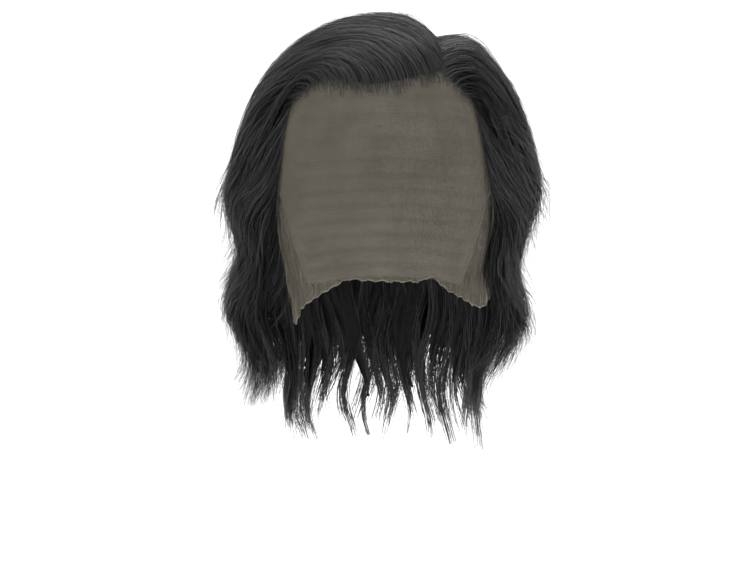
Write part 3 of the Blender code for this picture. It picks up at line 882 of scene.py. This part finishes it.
def add_inner(bundle, rng, layer, tuft, middle, turn, level, lift, rooted, material):
    """Adds a bundle of an inner layer, with the waves and the scatter of its tufts."""
    look = bundle.look
    along = along_strands(bundle)
    angle, spread = wave_angle(turn, level)
    angle = angle + shared(rng.normal(0, layer.phase, layer.tufts), tuft)
    free = between(*INNER_FREE_SHARES, along)
    sway = wave_sway(layer.sway_levels, level, angle, spread)
    if layer.sway:
        sway = sway + shared(rng.normal(0, layer.sway, layer.tufts), tuft) * free
    sway = sway + wander(rng, along, look.stray * STRAY_TURN, INNER_SWAY_TURNS) * rooted
    sway = sway + scatter(rng, layer.own_sway * look.spread, bundle) * free
    lift = lift + layer.lift * free * np.cos(angle) + scatter(rng, INNER_LIFT, bundle) * free
    tilt = scatter(rng, 0.0 if look is FILL else INNER_TILT, bundle)
    add_strands(bundle, rng, turn + sway, level, lift, tilt, middle, 9, material, passes=1)


def inner_piece(bundle, material):
    """Strands of the inner layer beside the face, at the viewer's left or right."""
    count = bundle.count
    rng = np.random.default_rng(bundle.seed)
    share = rng.random(count) ** 1.2
    tufts = SIDE_LAYER.tufts
    tuft = np.minimum((share * tufts).astype(int), tufts - 1)
    middle = (tuft + 0.5) / tufts
    start = SIDE_START_LEVEL + SIDE_START_SPREAD * rng.random(count) ** 1.6
    tip = SIDE_TIP_SHARE + rng.normal(0, 0.045, tufts)[tuft]
    tip = HAIR_LEVEL * (tip + rng.normal(0, 0.03, count))
    along = along_strands(bundle)
    level = start[:, None] + (tip - start)[:, None] * along

    # Turn from the edge beside the face, with the edge swept back as it leaves the root
    edge = np.interp(level, *face_edge(bundle.left))
    pull = 0.5 * between(*INNER_PULL_SHARES, along)
    share = share[:, None] + (middle - share)[:, None] * pull
    turn = edge + (SIDE_END_TURN - edge) * share + rng.exponential(0.8, (count, 1))
    turn = turn + SIDE_SWEEP_TURN * smooth(along * 3.0) * (1 - share)
    turn = -turn if bundle.left else turn

    rooted = smooth(along * 7.0)
    within = rng.beta(1.0, 1.6, (count, 1))
    lift = ROOT_LIFT + (under_lift(turn) * (1.0 - 0.8 * within) - ROOT_LIFT) * rooted
    add_inner(bundle, rng, SIDE_LAYER, tuft, middle, turn, level, lift, rooted, material)


def nape_piece(bundle, material):
    """Strands of the inner layer at the nape."""
    count, look = bundle.count, bundle.look
    rng = np.random.default_rng(bundle.seed)
    share = rng.random(count)
    tufts = NAPE_LAYER.tufts
    edges = np.sort(np.concatenate([[0.0], rng.random(tufts - 1), [1.0]]))
    tuft = np.clip(np.searchsorted(edges, share) - 1, 0, tufts - 1)
    middle = 0.5 * (edges[tuft] + edges[tuft + 1])
    start = NAPE_START_LEVEL + NAPE_START_SPREAD * rng.random(count)
    tip = NAPE_TIP_SHARE + NAPE_TIP_DROP * np.sin(np.pi * share)
    tip = tip + rng.normal(0, 0.05, tufts)[tuft]
    tip = HAIR_LEVEL * look.long * (tip + rng.normal(0, 0.035, count))
    tip = np.minimum(tip, LONGEST_LEVEL)
    along = along_strands(bundle)
    level = start[:, None] + (tip - start)[:, None] * along
    pull = 0.6 * between(*INNER_PULL_SHARES, along)
    share = share[:, None] + (middle - share)[:, None] * pull
    turn = -(NAPE_START_TURN + NAPE_SPREAD_TURN * share)

    # Lift off the head, and clear of the cap's rim
    rooted = smooth(along * 6.0)
    within = rng.uniform(look.depth_low, 0.9, (count, 1))
    lift = under_lift(turn) * (1.0 - within)
    lift = NAPE_ROOT_LIFT + (lift - NAPE_ROOT_LIFT) * rooted
    lift = np.maximum(lift, NAPE_RIM_LIFT * (1.0 - between(*SPARED_NAPE_LEVELS, level)))
    add_inner(bundle, rng, NAPE_LAYER, tuft, middle, turn, level, lift, rooted, material)


def sheet_mesh(name, grids):
    """Open sheets through grids of points as one mesh, mapped by their rows and columns."""
    vertices, faces, maps = [], [], []
    for points in grids:
        rows, columns = points.shape[:2]
        start = np.arange(rows - 1)[:, None] * columns + np.arange(columns - 1)[None, :]
        quads = np.stack([start, start + columns, start + columns + 1, start + 1], axis=-1)
        quads = quads.reshape(-1, 4)
        u, v = np.meshgrid(np.linspace(0, 1, columns), np.linspace(0, 1, rows))
        maps.append(np.stack([u, v], axis=-1).reshape(-1, 2)[quads.ravel()])
        faces += (quads + len(vertices)).tolist()
        vertices += points.reshape(-1, 3).tolist()
    mesh = bpy.data.meshes.new(name)
    mesh.from_pydata(vertices, [], faces)
    layer = mesh.uv_layers.new(name=MAP_NAME)
    layer.data.foreach_set("uv", np.concatenate(maps).astype(np.float32).ravel())
    mesh.shade_smooth()
    return mesh


def seam_level(turn):
    """Level of the seam between the lace and the cap."""
    share = smooth(np.abs(turn) / SEAM_TURN)
    return SEAM_TOP_SHARE + (SEAM_SIDE_SHARE - SEAM_TOP_SHARE) * share


def rim_level(turn):
    """Level of the cap's rim behind the seam, with an arc round each ear."""
    arc = 1.0 - smooth(np.abs(np.abs(turn) - EAR_TURN) / EAR_SPREAD_TURN)
    return NAPE_LEVEL - (NAPE_LEVEL - EAR_LEVEL) * arc


def make_lace():
    """The sheer sheet over the forehead, with its arched cut edge and two tabs."""
    turns = np.linspace(-SEAM_TURN, SEAM_TURN, LACE_COLUMNS)
    columns = [row.turn for row in LACE_EDGE]
    depths = np.interp(turns, columns, [row.depth for row in LACE_EDGE])
    curls = np.interp(turns, columns, [row.curl for row in LACE_EDGE])
    kernel = np.array([1, 2, 3, 2, 1]) / 9.0
    depths, curls = (
        np.convolve(np.pad(values, 2, mode="edge"), kernel, mode="valid")
        for values in (depths, curls)
    )
    snips = SNIP_SIZE * np.sin(turns * 0.9) + FINE_SNIP_SIZE * np.sin(turns * 2.3 + 1.0)
    edge = LACE_LEVEL * depths + snips
    seam = seam_level(turns)
    level = seam + (edge - seam) * np.linspace(0.0, 1.0, LACE_ROWS)[:, None]
    near = smooth(1.0 - (edge - level) / TAB_HEIGHT)
    side = between(*TAB_STRETCH, np.abs(turns))
    folds = FOLD_SIZE * np.sin(turns * 1.25 + 2.0 * level)
    folds = folds + FINE_FOLD_SIZE * np.sin(turns * 2.9)
    hang = HANG_SIZE * (1 - side) * np.sin(turns * 0.23 + 0.6) ** 2
    lift = LACE_LIFT + near * (TAB_REACH * curls + folds * side + hang)
    points = place(turns + 0 * level, level, lift)
    mesh = sheet_mesh("lace_sheet", [points])
    piece = add_piece("lace_sheet", mesh, lace_material(), ["lace_front"])


def cap_points(first_turn, last_turn, grid, end_level, bound):
    """Points of a part of the cap, from its top down to a level, with rows of weft."""
    rows, columns = grid
    turns = np.linspace(first_turn, last_turn, columns)[None, :]
    share = np.linspace(0.0, 1.0, rows)[:, None]
    level = np.maximum(end_level(wrapped(turns)) * share, CAP_TOP_LEVEL)
    wefts = np.cos(math.tau * level * math.pi / 2 * DOME_HEIGHT / WEFT_PITCH) ** 8
    bind = BIND_HEIGHT * smooth((share - BIND_START) / BIND_SHARE) if bound else 0.0
    lift = CAP_LIFT + WEFT_HEIGHT * wefts * between(*WEFT_LEVELS, level) + bind
    return place(turns + 0 * level, level, lift)


def make_cap():
    """The net cap: in front up to the seam, behind it down to a bound rim."""
    side = SEAM_TURN + SEAM_GAP_TURN
    grids = [
        cap_points(-side, side, CAP_FRONT_GRID, seam_level, False),
        cap_points(side, 360.0 - side, CAP_BACK_GRID, rim_level, True),
    ]
    mesh = sheet_mesh("net_cap", grids)
    piece = add_piece("net_cap", mesh, cap_material(), ["wig_cap"])
    wall = piece.modifiers.new("wall", "SOLIDIFY")
    wall.thickness = CAP_WALL
    wall.offset = 1.0


def new_material(name):
    """A new material, its node tree and its shader."""
    material = bpy.data.materials.new(name)
    material.use_nodes = True
    tree = material.node_tree
    return material, tree, tree.nodes["Principled BSDF"]


def new_node(tree, kind, inputs=(), **settings):
    """A node with its settings made and values put on its inputs."""
    node = tree.nodes.new(kind)
    for key, value in settings.items():
        setattr(node, key, value)
    for key, value in inputs:
        node.inputs[key].default_value = value
    return node


def math_node(tree, operation, first, second=None):
    """The result of an operation on sockets or numbers."""
    node = new_node(tree, "ShaderNodeMath", operation=operation)
    for socket, value in zip(node.inputs, (first, second)):
        if isinstance(value, (int, float)):
            socket.default_value = value
        elif value is not None:
            tree.links.new(value, socket)
    return node.outputs[0]


def colour_ramp(tree, source, low, high):
    """A blend of two colours, each given with its position."""
    ramp = tree.nodes.new("ShaderNodeValToRGB")
    for element, (position, colour) in zip(ramp.color_ramp.elements, (low, high)):
        element.position = position
        element.color = (*colour, 1.0)
    tree.links.new(source, ramp.inputs["Fac"])
    return ramp.outputs["Color"]


def map_place(tree):
    """The place on the piece's map, and its X and Y."""
    uv = new_node(tree, "ShaderNodeUVMap", uv_map=MAP_NAME)
    split = tree.nodes.new("ShaderNodeSeparateXYZ")
    tree.links.new(uv.outputs["UV"], split.inputs[0])
    return uv.outputs["UV"], split.outputs["X"], split.outputs["Y"]


def thread_cells(tree, source, scale, randomness, dimensions):
    """Distance from the threads of a net of small cells."""
    cells = new_node(
        tree, "ShaderNodeTexVoronoi", (("Scale", scale), ("Randomness", randomness)),
        voronoi_dimensions=dimensions, feature="DISTANCE_TO_EDGE",
    )
    tree.links.new(source, cells.inputs["Vector"])
    return cells.outputs["Distance"]


def set_surface(tree, shader, colour, roughness, gloss):
    """Colour, roughness and strength of reflections of a shader."""
    tree.links.new(colour, shader.inputs["Base Color"])
    shader.inputs["Roughness"].default_value = roughness
    shader.inputs["Specular IOR Level"].default_value = gloss


def hair_material(fibre):
    """Satin fibre whose tone changes from strand to strand and along each."""
    material, tree, shader = new_material(fibre.name)
    _, x, y = map_place(tree)
    column = math_node(tree, "MULTIPLY", x, float(TONE_COLUMNS))
    column = math_node(tree, "FLOOR", column)
    streak = math_node(tree, "MULTIPLY", x, TONE_COLUMNS * 16.0)
    spot = tree.nodes.new("ShaderNodeCombineXYZ")
    tree.links.new(math_node(tree, "ADD", column, streak), spot.inputs["X"])
    tree.links.new(math_node(tree, "MULTIPLY", y, 4.0), spot.inputs["Y"])
    noise = new_node(tree, "ShaderNodeTexNoise", (("Scale", 1.7), ("Detail", 2.0)))
    tree.links.new(spot.outputs[0], noise.inputs["Vector"])
    colour = colour_ramp(tree, noise.outputs["Fac"], (0.30, fibre.dark), (0.72, fibre.light))
    set_surface(tree, shader, colour, fibre.roughness, fibre.gloss)
    return material


def lace_material():
    """Sheer brown net: fine threads with open holes between them, and a denser edge."""
    material, tree, shader = new_material("lace_net")
    uv, _, y = map_place(tree)
    scaled = new_node(tree, "ShaderNodeVectorMath", operation="MULTIPLY")
    scaled.inputs[1].default_value = (LACE_THREADS_ACROSS, LACE_THREADS_DOWN, 1.0)
    tree.links.new(uv, scaled.inputs[0])
    noise = new_node(tree, "ShaderNodeTexNoise", (("Scale", 0.035), ("Detail", 4.0)))
    tree.links.new(scaled.outputs[0], noise.inputs["Vector"])
    distance = thread_cells(tree, scaled.outputs[0], 1.0, 0.55, "2D")
    thread = math_node(tree, "LESS_THAN", distance, 0.10)
    weave = math_node(tree, "MULTIPLY", thread, 0.38)
    hem = math_node(tree, "GREATER_THAN", y, 0.995)
    hem = math_node(tree, "MULTIPLY", hem, 0.22)
    alpha = math_node(tree, "ADD", math_node(tree, "ADD", weave, hem), 0.03)
    tree.links.new(alpha, shader.inputs["Alpha"])
    dark, light = (0.40, 0.36, 0.27), (0.50, 0.46, 0.36)
    colour = colour_ramp(tree, noise.outputs["Fac"], (0.35, dark), (0.65, light))
    set_surface(tree, shader, colour, roughness=0.55, gloss=0.4)
    return material


def cap_material():
    """Dark stretch net with a fine weave and darker rows of weft."""
    material, tree, shader = new_material("cap_net")
    spot = tree.nodes.new("ShaderNodeTexCoord")
    distance = thread_cells(tree, spot.outputs["Object"], 600.0, 0.3, "3D")
    thread, hole = (0.080, 0.073, 0.066), (0.046, 0.042, 0.038)
    net = colour_ramp(tree, distance, (0.05, thread), (0.40, hole))
    _, _, y = map_place(tree)
    row = math_node(tree, "MULTIPLY", y, WEFT_ROWS)
    row = math_node(tree, "FRACT", row)
    dim, plain = (0.80, 0.80, 0.80), (1.0, 1.0, 1.0)
    weft = colour_ramp(tree, row, (0.30, dim), (0.44, plain))
    mixed = new_node(
        tree, "ShaderNodeMix", (("Factor", 1.0),), data_type="RGBA", blend_type="MULTIPLY"
    )
    tree.links.new(net, mixed.inputs[6])
    tree.links.new(weft, mixed.inputs[7])
    bump = new_node(tree, "ShaderNodeBump", (("Strength", 0.5), ("Distance", 0.0003)))
    tree.links.new(distance, bump.inputs["Height"])
    tree.links.new(bump.outputs["Normal"], shader.inputs["Normal"])
    set_surface(tree, shader, mixed.outputs[2], roughness=0.8, gloss=0.2)
    return material


def add_object(name, data):
    """Adds an object that isn't a piece of the wig."""
    thing = bpy.data.objects.new(name, data)
    bpy.context.scene.collection.objects.link(thing)
    return thing


def aim(thing, spot, target):
    """Puts a camera or light at a spot, looking at its target."""
    thing.location = spot
    way = Vector(target) - Vector(spot)
    thing.rotation_euler = way.to_track_quat("-Z", "Y").to_euler()


def make_camera():
    """The photograph's camera."""
    data = bpy.data.cameras.new("camera")
    data.lens = CAMERA_LENS
    data.sensor_width = CAMERA_SENSOR
    camera = add_object("camera", data)
    aim(camera, CAMERA_SPOT, CAMERA_TARGET)
    bpy.context.scene.camera = camera


def make_stage():
    """A pale floor that curves up behind into a backdrop."""
    material, _, shader = new_material("pale_floor")
    shader.inputs["Base Color"].default_value = (0.93, 0.93, 0.93, 1.0)
    shader.inputs["Roughness"].default_value = 0.9
    shader.inputs["Specular IOR Level"].default_value = 0.1
    profile = [(FLOOR_FRONT, 0.0)]
    for angle in np.linspace(0.0, math.pi / 2, 13):
        y = BACKDROP_PLACE - BACKDROP_BEND * (1.0 - math.sin(angle))
        profile.append((y, BACKDROP_BEND * (1.0 - math.cos(angle))))
    profile.append((BACKDROP_PLACE, BACKDROP_TOP))
    sides = (-FLOOR_HALF_WIDTH, FLOOR_HALF_WIDTH)
    vertices = [(x, y, FLOOR_HEIGHT + z) for y, z in profile for x in sides]
    faces = [(2 * i, 2 * i + 1, 2 * i + 3, 2 * i + 2) for i in range(len(profile) - 1)]
    mesh = bpy.data.meshes.new("floor")
    mesh.from_pydata(vertices, [], faces)
    mesh.shade_smooth()
    mesh.materials.append(material)
    add_object("floor", mesh)


def make_lights():
    """Softboxes round the wig, a light on the backdrop and an even white world."""
    for light in LIGHTS:
        data = bpy.data.lights.new(light.name, "AREA")
        data.shape = "RECTANGLE"
        data.size, data.size_y = light.size
        data.energy = light.power
        aim(add_object(light.name, data), light.spot, light.target)
    world = bpy.data.worlds.new("studio")
    world.use_nodes = True
    background = world.node_tree.nodes["Background"]
    background.inputs["Color"].default_value = (1.0, 1.0, 1.0, 1.0)
    background.inputs["Strength"].default_value = WORLD_STRENGTH
    bpy.context.scene.world = world
    bpy.context.scene.view_settings.view_transform = "Standard"


def make_hair():
    """Every bundle of strands, each as one piece."""
    builders = {
        Locks: lock_piece,
        Feathers: feather_piece,
        Face: face_piece,
        Inner: inner_piece,
        Nape: nape_piece,
    }
    materials = {fibre.name: hair_material(fibre) for fibre in FIBRES}
    for bundle in HAIR:
        builders[type(bundle)](bundle, materials[bundle.fibre])


make_camera()
make_stage()
make_lights()
make_lace()
make_cap()
make_hair()
